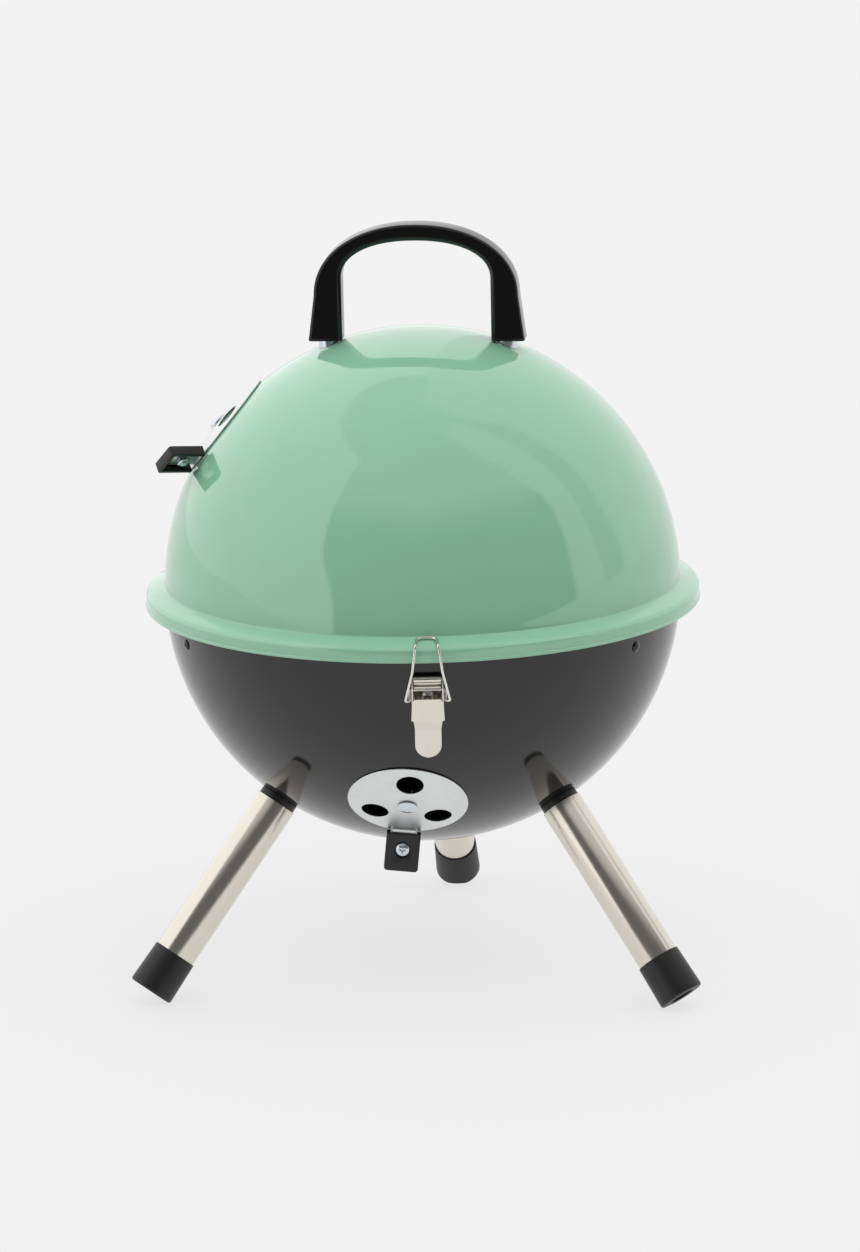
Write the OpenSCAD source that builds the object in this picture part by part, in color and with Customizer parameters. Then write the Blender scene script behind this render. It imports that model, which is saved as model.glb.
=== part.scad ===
// Portable kettle charcoal grill: two steel half balls, a lid over a bowl, on three splayed tube legs.
// Millimetres, +Z up, front is -Y. The floor is z = 0 and the origin is the middle of the outline on it.
// Each part is drawn around the ball's centre, which on_kettle() puts in place.

/* [Ball] */

// outer radius of the lid and of the bowl, one common ball
ball_r = 155; // [140:1:180]
// sheet thickness of lid and bowl
wall = 1.2; // [0.8:0.1:2.5]
// height of the ball's centre, the joint plane, above the floor
rim_z = 237; // [200:1:300]
// distance from the origin to the kettle's upright axis, towards the rear
kettle_y = -12; // [-20:0.5:20]

/* [Lid flange and bowl rim] */

// height at which the flange leaves the dome
flange_top = 3.4; // [2:0.1:8]
// outer radius of the flange's skirt
skirt_r = 166; // [160:0.5:175]
// height of the middle of the skirt's rolled hem
hem_z = -8.4; // [-14:0.2:-5]
// radius of the rolled hem
hem_r = 1; // [0.6:0.1:2]
// radius of the rolled bead round the bowl's mouth
bead_r = 2.8; // [2:0.1:4]
// distance of the bead's middle from the kettle's axis
bead_at = 156.9; // [156:0.1:160]
// height of the bead's middle
bead_z = -2; // [-6:0.1:0]

/* [Legs] */

// angle between each leg and the vertical
leg_tilt = 38.6; // [20:0.2:50]
// outer diameter of the leg tubes
tube_d = 25; // [19:0.5:32]
// wall of the leg tubes
tube_wall = 1.2; // [0.8:0.1:2]
// length of plug flange seen between bowl and tube
plug_gap = 3.6; // [2:0.2:8]
// distance from the ball's centre to the cap's upper edge
cap_start = 267.5; // [240:0.5:300]
// distance from the ball's centre to the cap's end face
cap_end = 294.2; // [270:0.5:320]
// diameter of the cap's lower end
cap_d = 27.6; // [26:0.2:36]
// rounding of the cap's lower edge
cap_round = 3; // [1:0.5:5]

/* [Handle] */

// half of the handle's width at its feet
handle_half = 63; // [50:1:80]
// height of the handle above its feet
handle_h = 70; // [50:1:90]
// depth of the handle from front to rear
handle_t = 18; // [12:0.5:26]
// half of the finger opening's width
grip_half = 44.5; // [36:0.5:56]
// height of the finger opening
grip_h = 60.2; // [45:0.2:75]
// height of the handle's feet above the joint plane
handle_z = 148.8; // [145:0.1:155]
// distance of each handle screw from the kettle's axis
handle_screw_x = 53; // [46:0.5:60]

/* [Vents] */

// radius of the damper discs
disc_r = 35.6; // [28:0.2:45]
// thickness of the damper discs
disc_t = 1; // [0.6:0.1:2]
// diameter of the vent holes
vent_d = 16; // [8:0.5:20]
// radius of the circle the vent holes lie on
vent_at = 21.5; // [14:0.5:26]
// latitude of the lid's vent
lid_vent_lat = 39.1; // [20:0.1:60]
// turn of the lid's damper at rest, from straight down
lid_vent_turn = 59; // [-60:1:60]
// latitude of the bowl's vent, below the joint plane
bowl_vent_lat = -44.3; // [-60:0.1:-30]
// turn of the bowl's damper at rest, from straight down
bowl_vent_turn = -8.5; // [-60:0.5:60]
// bend between a damper disc and its tongue
tab_bend = 42; // [20:1:90]
// width of the damper tabs
tab_w = 20.2; // [14:0.2:30]
// length of the damper tabs
tab_l = 23.6; // [16:0.2:36]
// thickness of the damper tabs
tab_t = 6.4; // [3:0.2:9]

/* [Latches] */

// azimuth of the first latch, from the front towards +X
latch_at = 6.5; // [0:0.5:60]
// latitude below the joint plane that the latch plates lie at
latch_lat = 12.6; // [8:0.2:20]
// height of the lever pivot up the latch plate
pivot_y = 13.6; // [10:0.2:18]
// distance of the lever pivot from the ball's centre
pivot_z = 157.4; // [157:0.2:160]
// height on the latch plate of the bail's crossing wire
bail_y = 8; // [4:0.5:10]
// distance of the bail's crossing wire from the ball's centre
bail_z = 159.6; // [158:0.2:164]
// radius of the bail wires
wire_r = 0.8; // [0.6:0.1:1.2]
// width of a lever's face plate
lever_w = 19.4; // [14:0.2:26]
// width of a lever's finger tail
tail_w = 15.4; // [10:0.2:20]

/* [Grates] */

// radius of the cooking grate's ring
cook_r = 144.5; // [130:0.5:148]
// height of the cooking grate
cook_z = -11.6; // [-20:0.2:-6]
// spacing of the cooking grate's bars
cook_pitch = 14; // [8:0.5:20]
// latitude on the bowl where the charcoal grate lies
coal_lat = 33; // [20:1:50]
// spacing of the charcoal grate's bars
coal_pitch = 18; // [12:1:30]

/* [Hidden] */

$fn = 96;
inner_r = ball_r - wall;
gap = 0.3;
leg_azimuths = [-60, 60, 180];
latch_azimuths = [latch_at, latch_at + 120, latch_at + 240];
steel = [0.78, 0.77, 0.73];
zinc = [0.8, 0.82, 0.82];
plastic = [0.12, 0.11, 0.11];
black = [0.16, 0.15, 0.15];
mint = [0.62, 0.76, 0.68];

// ---- places ----

module on_kettle() translate([0, kettle_y, rim_z]) children();

// +Z out along a leg
module leg_frame(azimuth) on_kettle() rotate([0, 0, azimuth]) rotate([180 - leg_tilt, 0, 0]) children();

// +Z out through the sheet, +Y up the ball
module ball_frame(azimuth, latitude) rotate([0, 0, azimuth]) rotate([90 - latitude, 0, 0]) children();

module lid_vent_frame(turn = 0)
  on_kettle() ball_frame(-90, lid_vent_lat) rotate([0, 0, turn]) children();

module bowl_vent_frame(turn = 0)
  on_kettle() ball_frame(0, bowl_vent_lat) rotate([0, 0, turn]) children();

module latch_frame(azimuth) on_kettle() ball_frame(azimuth, -latch_lat) children();

function unit(v) = v / norm(v);
function placed(x, y, z, at) = [[x[0], y[0], z[0], at[0]], [x[1], y[1], z[1], at[1]], [x[2], y[2], z[2], at[2]]];

// closed loop of round wire of radius r along the points p; corner i is an arc of radius bend[i], a little
// fuller than the wire and lapped onto it
module wire_loop(p, bend, r) {
  n = len(p);
  way = [for (i = [0:n - 1]) unit(p[(i + 1) % n] - p[i])];
  trim = [for (i = [0:n - 1]) bend[i] * tan(acos(way[(i + n - 1) % n] * way[i]) / 2)];
  for (i = [0:n - 1]) {
    u = way[i];
    side = unit(cross(u, [0.37, 0.21, 0.9]));
    long = norm(p[(i + 1) % n] - p[i]) - trim[i] - trim[(i + 1) % n];
    multmatrix(placed(side, cross(u, side), u, p[i] + u * trim[i])) cylinder(h = long, r = r, $fn = 32);
  }
  for (i = [0:n - 1]) {
    u = way[(i + n - 1) % n];
    axis = unit(cross(u, way[i]));
    inward = cross(axis, u);
    multmatrix(placed(-inward, u, axis, p[i] - u * trim[i] + inward * bend[i])) rotate([0, 0, -5])
      rotate_extrude(angle = acos(u * way[i]) + 10, $fn = 64) translate([bend[i], 0]) circle(r = r * 1.06, $fn = 32);
  }
}

// bar along X with its middle at p
module cross_bar(p, length, r)
  translate(p) rotate([0, 90, 0]) cylinder(h = length, r = r, center = true, $fn = 32);

// pan head, axis +Z, underside at z = 0, with a cross recess
module pan_head(d, h) difference() {
  intersection() {
    cylinder(h = h, d = d, $fn = 40);
    translate([0, 0, h - d]) sphere(r = d, $fn = 64);
  }
  for (a = [0, 90]) rotate([0, 0, a]) translate([-d * 0.29, -d * 0.07, h * 0.45]) cube([d * 0.58, d * 0.14, h]);
}

module hex_nut(across, h, bore_r) difference() {
  cylinder(h = h, r = across / 2 / cos(30), $fn = 6);
  translate([0, 0, -1]) cylinder(h = h + 2, r = bore_r, $fn = 32);
}

// ---- bowl ----

module vent_holes(turn) {
  for (a = [90, 210, 330]) rotate([0, 0, a + turn]) translate([vent_at, 0, ball_r - 15])
    cylinder(h = 25, d = vent_d, $fn = 48);
  translate([0, 0, ball_r - 15]) cylinder(h = 25, r = 2.7, $fn = 32);
}

module bowl_shell() color(black) difference() {
  on_kettle() union() {
    difference() {
      sphere(r = ball_r);
      sphere(r = inner_r);
      translate([-200, -200, bead_z]) cube([400, 400, 200]);
    }
    rotate_extrude() translate([bead_at, bead_z]) circle(r = bead_r, $fn = 40);
  }
  bowl_vent_frame() vent_holes(bowl_vent_turn);
  for (a = leg_azimuths) leg_frame(a) translate([0, 0, ball_r - 10]) cylinder(h = 20, r = 3.3, $fn = 32);
  for (a = leg_azimuths) on_kettle() ball_frame(a, -7.6) translate([0, 0, ball_r - 10])
    cylinder(h = 20, r = 2.1, $fn = 32);
  for (a = latch_azimuths) latch_frame(a) for (y = [2.6, -12]) translate([0, y, ball_r - 10])
    cylinder(h = 20, r = 1.8, $fn = 32);
}

module leg_tube(azimuth) color(steel) leg_frame(azimuth) difference() {
  translate([0, 0, ball_r + plug_gap]) cylinder(h = cap_end - 5 - ball_r - plug_gap, d = tube_d);
  cylinder(h = 400, d = tube_d - 2 * tube_wall);
}

// plastic plug in the tube's upper end, with a flange hollowed to the ball
module leg_plug(azimuth) color(plastic) leg_frame(azimuth) difference() {
  union() {
    translate([0, 0, ball_r - 4]) cylinder(h = 4 + plug_gap, d = tube_d - 1.4);
    translate([0, 0, ball_r]) cylinder(h = 34, d = tube_d - 2 * tube_wall - 0.2);
  }
  sphere(r = ball_r + 0.05, $fn = 360);
  cylinder(h = ball_r + 26, r = 3.05, $fn = 32);
}

// bolt, nut side up inside the bowl: head and washer against the sheet, shank down into the plug
module leg_bolt(azimuth) leg_frame(azimuth) {
  translate([0, 0, inner_r - 2.8]) cylinder(h = 1.6, d = 16, $fn = 48);
  translate([0, 0, inner_r - 7]) cylinder(h = 4.3, r = 5 / cos(30), $fn = 6);
  translate([0, 0, inner_r - 6]) cylinder(h = 28, r = 2.9, $fn = 32);
}

module leg_bolts() color(steel) for (a = leg_azimuths) leg_bolt(a);

// rubbery foot cap over the tube end, its tip cut flat on the floor
module leg_cap(azimuth) color(plastic) intersection() {
  leg_frame(azimuth) difference() {
    rotate_extrude() difference() {
      union() {
        polygon([[0, cap_start], [cap_d / 2 - 0.6, cap_start], [cap_d / 2 - 0.25, cap_start + 0.6],
          [cap_d / 2, cap_end - cap_round], [cap_d / 2 - cap_round, cap_end], [0, cap_end]]);
        translate([cap_d / 2 - cap_round, cap_end - cap_round]) circle(r = cap_round, $fn = 40);
      }
      translate([-50, cap_start - 5]) square([50, 60]);
    }
    translate([0, 0, cap_start - 1]) cylinder(h = cap_end - 5 - cap_start + 1.05, d = tube_d + 0.1);
    translate([0, 0, cap_end - 2.4]) cylinder(h = 5, d = 15);
    translate([0, 0, cap_end - 8]) cylinder(h = 10, d = 6, $fn = 32);
  }
  translate([-300, -300, 0]) cube([600, 600, 100]);
}

module leg_tube_left() leg_tube(leg_azimuths[0]);
module leg_tube_right() leg_tube(leg_azimuths[1]);
module leg_tube_rear() leg_tube(leg_azimuths[2]);
module leg_plug_left() leg_plug(leg_azimuths[0]);
module leg_plug_right() leg_plug(leg_azimuths[1]);
module leg_plug_rear() leg_plug(leg_azimuths[2]);
module leg_cap_left() leg_cap(leg_azimuths[0]);
module leg_cap_right() leg_cap(leg_azimuths[1]);
module leg_cap_rear() leg_cap(leg_azimuths[2]);

// ---- grate brackets ----

bracket_top = cook_z - 2.5 - gap;

module grate_brackets() color(steel) for (a = leg_azimuths) difference() {
  on_kettle() intersection() {
    union() {
      ball_frame(a, -7.6) translate([-8, -6.5, inner_r - 2.2]) cube([16, 13, 4]);
      rotate([0, 0, a]) translate([-8, -160, bracket_top - 1.5]) cube([16, 19, 1.5]);
    }
    sphere(r = inner_r - 0.05, $fn = 360);
    translate([-200, -200, bracket_top - 40]) cube([400, 400, 40]);
  }
  on_kettle() ball_frame(a, -7.6) translate([0, 0, 140]) cylinder(h = 30, r = 2.1, $fn = 32);
}

module bracket_rivets() color(black) for (a = leg_azimuths) on_kettle() ball_frame(a, -7.6) {
  translate([0, 0, inner_r - 3.2]) cylinder(h = 1, d = 7, $fn = 32);
  translate([0, 0, inner_r - 3]) cylinder(h = wall + 3.2, r = 2, $fn = 32);
  intersection() {
    translate([0, 0, ball_r + 0.05]) cylinder(h = 2, d = 6.4, $fn = 32);
    translate([0, 0, ball_r - 3.4]) sphere(r = 5, $fn = 48);
  }
}

// ---- latches ----

// sheet plate on the bowl, its top edge rolled round the pivot pin
module latch_plate(azimuth) color(steel) latch_frame(azimuth) difference() {
  union() {
    difference() {
      translate([-8, -18, ball_r - 3]) cube([16, 31.5, 5]);
      sphere(r = ball_r + 0.05, $fn = 360);
    }
    cross_bar([0, pivot_y, pivot_z], 16.4, 2.2);
    cross_bar([0, pivot_y, pivot_z], 20, 1);
  }
  for (y = [2.6, -12]) translate([0, y, ball_r - 10]) cylinder(h = 20, r = 1.8, $fn = 32);
}

module latch_screws() color(steel) for (a = latch_azimuths, y = [2.6, -12]) latch_frame(a)
  translate([0, y, ball_r + 2.02]) {
    pan_head(7, 2);
    translate([0, 0, -7]) cylinder(h = 7.5, r = 1.7, $fn = 32);
  }

lever_z = ball_r + 7.6;
tail_z = ball_r + 3;

// side cheeks, face plate, step and finger tail with a round end
module latch_lever(azimuth) color(steel) latch_frame(azimuth) difference() {
  union() {
    for (s = [-1, 1]) translate([s * 8.85 - 0.45, 0, 0]) rotate([90, 0, 90]) linear_extrude(height = 0.9) {
      translate([pivot_y, pivot_z]) circle(r = 2.7, $fn = 40);
      polygon([[pivot_y, pivot_z + 2.7], [4, lever_z + 1.2], [-10.4, lever_z + 1.2], [-10.4, lever_z - 1.6],
        [1, bail_z - 2.4], [pivot_y, pivot_z - 2.7]]);
    }
    rotate([90, 0, 90]) translate([0, 0, -tail_w / 2]) linear_extrude(height = tail_w)
      polygon([[-9.6, lever_z], [-10.8, lever_z], [-18.6, tail_z], [-28.6, tail_z],
        [-28.6, tail_z + 1.2], [-18, tail_z + 1.2], [-10.2, lever_z + 1.2], [-9.6, lever_z + 1.2]]);
    translate([0, 0, lever_z]) linear_extrude(height = 1.2)
      polygon([[-lever_w / 2 + 2.2, 3.6], [lever_w / 2 - 2.2, 3.6], [lever_w / 2, 1], [lever_w / 2, -10.4],
        [-lever_w / 2, -10.4], [-lever_w / 2, 1]]);
    translate([0, -28.6, tail_z]) cylinder(h = 1.2, d = tail_w);
  }
  cross_bar([0, pivot_y, pivot_z], 40, 1.15);
  cross_bar([0, bail_y, bail_z], 40, wire_r + 0.15);
}

// turns a point of the latch frame into the upright frame of the same azimuth
function upright(x, y, z) = [x, -z * cos(latch_lat) - y * sin(latch_lat), -z * sin(latch_lat) + y * cos(latch_lat)];

// one closed wire: hooked over the lid's flange, down both sides, back up in two narrow turns to the
// crossing wire that runs through the lever's cheeks
module latch_bail(azimuth) color(steel) on_kettle() rotate([0, 0, azimuth]) {
  side = [[5.9, -157.6, 3.9], [6.6, -168.4, 1.5], [8.7, -168.4, -14],
    upright(13, 1.8, bail_z + 2.4), upright(10.3, 1.8, bail_z + 1.9), upright(10.3, bail_y, bail_z)];
  bend = [4.4, 2.2, 2.2, 0.92, 0.92, 1.25];
  wire_loop(concat([for (i = [5:-1:0]) [-side[i][0], side[i][1], side[i][2]]], side),
    concat([for (i = [5:-1:0]) bend[i]], bend), wire_r);
}

module latch_plate_front() latch_plate(latch_azimuths[0]);
module latch_plate_right() latch_plate(latch_azimuths[1]);
module latch_plate_left() latch_plate(latch_azimuths[2]);
module latch_lever_front() latch_lever(latch_azimuths[0]);
module latch_lever_right() latch_lever(latch_azimuths[1]);
module latch_lever_left() latch_lever(latch_azimuths[2]);
module latch_bail_front() latch_bail(latch_azimuths[0]);
module latch_bail_right() latch_bail(latch_azimuths[1]);
module latch_bail_left() latch_bail(latch_azimuths[2]);

// ---- lid ----

module lid_shell() color(mint) difference() {
  on_kettle() union() {
    difference() {
      sphere(r = ball_r);
      sphere(r = inner_r);
      translate([-200, -200, -201 + flange_top]) cube([400, 400, 200]);
    }
    rotate_extrude() {
      polygon([[ball_r - 0.6, flange_top], [skirt_r - 1.8, 0], [skirt_r, -1.8], [skirt_r, hem_z],
        [skirt_r - wall, hem_z], [skirt_r - wall, -2.3], [skirt_r - 2.3, -wall],
        [ball_r - 0.6, flange_top - 1.3]]);
      translate([skirt_r - 0.4, hem_z]) circle(r = hem_r, $fn = 32);
    }
  }
  lid_vent_frame() vent_holes(lid_vent_turn);
  for (s = [-1, 1]) on_kettle() translate([s * handle_screw_x, 0, 130]) cylinder(h = 30, r = 2.7, $fn = 32);
}

// quarter outlines of the handle, n is the roundness of the shoulders
function shoulder(half, low, high, n, steps) = [for (i = [0:steps])
  let (t = 90 * i / steps) [half * pow(cos(t), 2 / n), low + (high - low) * pow(sin(t), 2 / n)]];
function mirrored(p) = [for (i = [len(p) - 2:-1:0]) [-p[i][0], p[i][1]]];

module handle_outline() {
  side = shoulder(handle_half - 2, 27, handle_h, 2.12, 20);
  polygon(concat([[handle_half + 1.6, 0]], side, mirrored(side), [[-handle_half - 1.6, 0]]));
}

module grip_outline() {
  side = shoulder(grip_half, grip_h - 22.5, grip_h, 2.2, 18);
  polygon(concat([[grip_half, -5]], side, mirrored(side), [[-grip_half, -5]]));
}

// arch with slightly bevelled outer edges and a flared finger opening
module handle() color(plastic) difference() {
  on_kettle() translate([0, 0, handle_z]) rotate([90, 0, 0]) difference() {
    union() {
      linear_extrude(height = handle_t - 2.4, center = true) handle_outline();
      for (s = [-1, 1]) scale([1, 1, s]) translate([0, 0, handle_t / 2 - 1.2])
        linear_extrude(height = 1.2, scale = 0.982) handle_outline();
    }
    linear_extrude(height = handle_t + 2, center = true) grip_outline();
    for (s = [-1, 1]) scale([1, 1, s]) translate([0, 0, handle_t / 2 - 2.4])
      linear_extrude(height = 2.6, scale = 1.045) grip_outline();
  }
  for (s = [-1, 1]) on_kettle() translate([s * handle_screw_x, 0, handle_z - 1])
    cylinder(h = 19, r = 2.5, $fn = 32);
}

module handle_spacers() color(steel) for (s = [-1, 1]) on_kettle() difference() {
  translate([s * handle_screw_x, 0, 140]) cylinder(h = handle_z - 140 - 0.05, d = 12.5, $fn = 48);
  sphere(r = ball_r + 0.05, $fn = 360);
  translate([s * handle_screw_x, 0, 130]) cylinder(h = 30, r = 2.7, $fn = 32);
}

module handle_screws() color(steel) for (s = [-1, 1]) on_kettle() translate([s * handle_screw_x, 0, 0]) {
  translate([0, 0, 142]) rotate([180, 0, 0]) pan_head(9, 2.8);
  translate([0, 0, 141.9]) cylinder(h = 0.55, d = 9, $fn = 40);
  translate([0, 0, 141]) cylinder(h = 24, r = 2.4, $fn = 32);
}

// ---- dampers ----

// domed head outside, washer head inside
module vent_rivet() {
  intersection() {
    translate([0, 0, ball_r + disc_t + 0.7]) cylinder(h = 4, d = 10.4, $fn = 48);
    translate([0, 0, ball_r + disc_t + 3.3 - 9]) sphere(r = 9, $fn = 64);
  }
  translate([0, 0, inner_r - 2]) cylinder(h = 6, r = 2.5, $fn = 32);
  translate([0, 0, inner_r - 2]) cylinder(h = 1.2, d = 9, $fn = 40);
}

module lid_vent_rivet() color(zinc) lid_vent_frame() vent_rivet();
module bowl_vent_rivet() color(zinc) bowl_vent_frame() vent_rivet();

// the tongue's frame: -Y out along the tongue, +Z on the side of the screw head
tongue_y = 33.6;
tongue_z = sqrt(pow(ball_r + gap + disc_t, 2) - pow(tongue_y, 2));
module tongue_frame() translate([0, -tongue_y, tongue_z]) rotate([-tab_bend, 0, 0]) children();

// disc pressed to the ball's curve, with a bent tongue
module damper_disc() difference() {
  union() {
    difference() {
      intersection() {
        sphere(r = ball_r + gap + disc_t);
        translate([0, 0, 100]) cylinder(h = 100, r = disc_r);
      }
      sphere(r = ball_r + gap);
    }
    tongue_frame() translate([-7, -19, -1.2]) cube([14, 19.2, 1.2]);
  }
  for (a = [90, 210, 330]) rotate([0, 0, a]) translate([vent_at, 0, ball_r - 15])
    cylinder(h = 25, d = vent_d, $fn = 48);
  translate([0, 0, ball_r - 15]) cylinder(h = 25, r = 2.65, $fn = 32);
  tongue_frame() translate([0, -12, -5]) cylinder(h = 10, r = 2.1, $fn = 32);
}

// plastic finger tab over the tongue, hollow on its far side
module tab_solid() difference() {
  translate([0, -2, 1.6 - tab_t]) linear_extrude(height = tab_t) {
    translate([-tab_w / 2, 2 - tab_l]) square([tab_w, tab_l - 2]);
    translate([-tab_w / 2 + 2, -tab_l]) square([tab_w - 4, 3]);
    for (s = [-1, 1]) translate([s * (tab_w / 2 - 2), 2 - tab_l]) circle(r = 2, $fn = 32);
  }
  translate([-tab_w / 2 + 2.2, 2 - tab_l, -10]) cube([tab_w - 4.4, tab_l, 10]);
  translate([0, -12, 0.7]) cylinder(h = 5, d = 10, $fn = 40);
  translate([0, -12, -5]) cylinder(h = 10, r = 2.1, $fn = 32);
}

module damper_tab() difference() {
  tongue_frame() tab_solid();
  sphere(r = ball_r + 0.4, $fn = 360);
}

module damper_screw() tongue_frame() translate([0, -12, 0]) {
  translate([0, 0, 0.72]) pan_head(8.2, 2.3);
  translate([0, 0, -5.4]) cylinder(h = 6.4, r = 1.95, $fn = 32);
  translate([0, 0, -4.4]) hex_nut(7, 3.1, 1.9);
}

module lid_damper_disc() color(zinc) lid_vent_frame(lid_vent_turn) damper_disc();
module lid_damper_tab() color(plastic) lid_vent_frame(lid_vent_turn) damper_tab();
module lid_damper_screw() color(steel) lid_vent_frame(lid_vent_turn) damper_screw();
module bowl_damper_disc() color(zinc) bowl_vent_frame(bowl_vent_turn) damper_disc();
module bowl_damper_tab() color(plastic) bowl_vent_frame(bowl_vent_turn) damper_tab();
module bowl_damper_screw() color(steel) bowl_vent_frame(bowl_vent_turn) damper_screw();

// ---- grates ----

function half_chord(r, x) = sqrt(r * r - x * x);

// a wire ring with parallel bars in its plane and two bearers beneath
module round_grate(r, z, pitch, ring_wire, bar_wire, bearer) {
  count = floor((r - 6) / pitch);
  translate([0, 0, z]) rotate_extrude() translate([r, 0]) circle(r = ring_wire, $fn = 32);
  for (i = [-count:count]) translate([i * pitch, 0, z]) rotate([90, 0, 0])
    cylinder(h = 2 * half_chord(r, i * pitch), r = bar_wire, center = true, $fn = 24);
  for (s = [-1, 1])
    cross_bar([0, s * bearer, z - 2 * bar_wire + 0.4], 2 * half_chord(r, bearer) - 3, bar_wire);
}

module cooking_grate() color(steel) on_kettle() round_grate(cook_r, cook_z, cook_pitch, 2.5, 1.8, 52);

coal_ball = inner_r - 2.5 - 0.35;
module charcoal_grate() color(steel) on_kettle()
  round_grate(coal_ball * cos(coal_lat), -coal_ball * sin(coal_lat), coal_pitch, 2.5, 2, 46);

bowl_shell();
leg_tube_left();
leg_tube_right();
leg_tube_rear();
leg_plug_left();
leg_plug_right();
leg_plug_rear();
leg_cap_left();
leg_cap_right();
leg_cap_rear();
leg_bolts();
grate_brackets();
bracket_rivets();
latch_plate_front();
latch_plate_right();
latch_plate_left();
latch_screws();
bowl_vent_rivet();
lid_shell();
handle();
handle_spacers();
handle_screws();
lid_vent_rivet();
lid_damper_disc();
lid_damper_tab();
lid_damper_screw();
bowl_damper_disc();
bowl_damper_tab();
bowl_damper_screw();
latch_lever_front();
latch_lever_right();
latch_lever_left();
latch_bail_front();
latch_bail_right();
latch_bail_left();
cooking_grate();
charcoal_grate();
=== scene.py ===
import math
import bmesh
import bpy
from mathutils import Matrix, Vector, geometry


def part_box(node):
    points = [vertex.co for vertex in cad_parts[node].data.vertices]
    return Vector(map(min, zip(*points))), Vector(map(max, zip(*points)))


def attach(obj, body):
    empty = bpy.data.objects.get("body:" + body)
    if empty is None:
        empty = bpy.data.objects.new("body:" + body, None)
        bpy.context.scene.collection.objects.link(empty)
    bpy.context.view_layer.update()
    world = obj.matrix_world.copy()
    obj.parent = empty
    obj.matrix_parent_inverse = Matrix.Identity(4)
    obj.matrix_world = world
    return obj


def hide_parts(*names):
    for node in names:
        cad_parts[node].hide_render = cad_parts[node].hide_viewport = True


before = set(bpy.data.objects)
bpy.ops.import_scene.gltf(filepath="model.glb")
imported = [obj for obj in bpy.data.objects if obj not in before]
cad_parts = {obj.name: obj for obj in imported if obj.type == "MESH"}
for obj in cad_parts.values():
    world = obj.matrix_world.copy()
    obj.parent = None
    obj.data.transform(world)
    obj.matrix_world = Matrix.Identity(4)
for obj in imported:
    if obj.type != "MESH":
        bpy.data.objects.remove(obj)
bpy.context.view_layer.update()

# ---- places, all lengths in millimetres until a piece is finished ----

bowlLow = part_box("bowl_shell")[0]
lidLow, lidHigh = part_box("lid_shell")
ballR = (lidHigh[2] - bowlLow[2]) * 500
kettleCentre = Vector(((lidLow[0] + lidHigh[0]) * 500, (lidLow[1] + lidHigh[1]) * 500,
                       (lidHigh[2] + bowlLow[2]) * 500))
kettle = Matrix.Translation(kettleCentre)
innerR = ballR - 1.2
legTurns = (-60, 60, 180)
legSplay = 38.6  # from straight down
latchTurns = (6.5, 126.5, 246.5)
latchLatitude, bracketLatitude = -12.6, -7.6
latchScrewYs = (2.6, -12.0)
handleScrewXs = (-53.0, 53.0)
ventHoles = {"radius": 8.0, "at": 21.5, "turns": (90, 210, 330), "rivet": 2.7}


def turn(axis, degrees):
    return Matrix.Rotation(math.radians(degrees), 4, axis)


def move(x, y, z):
    return Matrix.Translation((x, y, z))


def ballPlace(azimuth, latitude, spin=0):  # +Z out through the sheet, +Y up the ball
    return kettle @ turn("Z", azimuth) @ turn("X", 90 - latitude) @ turn("Z", spin)


def legPlace(azimuth):  # +Z out along a leg
    return kettle @ turn("Z", azimuth) @ turn("X", 180 - legSplay)


# ---- outlines ----


def rounded(corners, steps=5, closed=False):
    # corners are (x, y, radius); the radius turns a corner into an arc
    out, count = [], len(corners)
    for i, (x, y, r) in enumerate(corners):
        if r <= 0 or (not closed and i in (0, count - 1)):
            out.append((x, y))
            continue
        p = Vector((x, y))
        before = Vector(corners[i - 1][:2]) - p
        after = Vector(corners[(i + 1) % count][:2]) - p
        u, w = before.normalized(), after.normalized()
        half = math.acos(max(-1, min(1, u.dot(w)))) / 2
        if half > 1.565:  # nearly straight
            out.append((x, y))
            continue
        trim = min(r / math.tan(half), before.length * 0.49, after.length * 0.49)
        centre = p + (u + w).normalized() * (trim / math.cos(half))
        a, b = p + u * trim - centre, p + w * trim - centre
        angle = math.atan2(a.x * b.y - a.y * b.x, a.dot(b))
        for k in range(steps + 1):
            t = angle * k / steps
            out.append((centre.x + a.x * math.cos(t) - a.y * math.sin(t),
                        centre.y + a.x * math.sin(t) + a.y * math.cos(t)))
    return out


def arc(cx, cy, r, start, end, steps):
    return [(cx + r * math.cos(math.radians(start + (end - start) * i / steps)),
             cy + r * math.sin(math.radians(start + (end - start) * i / steps))) for i in range(steps + 1)]


# ---- meshes ----


def newObject(name, verts, faces=(), edges=()):
    mesh = bpy.data.meshes.new(name)
    mesh.from_pydata([tuple(v) for v in verts], list(edges), [tuple(f) for f in faces])
    obj = bpy.data.objects.new(name, mesh)
    bpy.context.scene.collection.objects.link(obj)
    return obj


def tidyMesh(obj, distance=0.002):  # merges doubles, then turns faces outwards
    work = bmesh.new()
    work.from_mesh(obj.data)
    bmesh.ops.remove_doubles(work, verts=work.verts, dist=distance)
    bmesh.ops.dissolve_degenerate(work, edges=work.edges, dist=distance / 4)
    bmesh.ops.recalc_face_normals(work, faces=work.faces)
    if work.calc_volume(signed=True) < 0:
        bmesh.ops.reverse_faces(work, faces=work.faces)
    work.to_mesh(obj.data)
    work.free()
    return obj


def bake(obj):  # the modifiers' result as a plain mesh
    bpy.context.view_layer.update()
    seen = obj.evaluated_get(bpy.context.evaluated_depsgraph_get())
    mesh = bpy.data.meshes.new_from_object(seen)
    old = obj.data
    obj.modifiers.clear()
    obj.data = mesh
    bpy.data.meshes.remove(old)
    return obj


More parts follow.
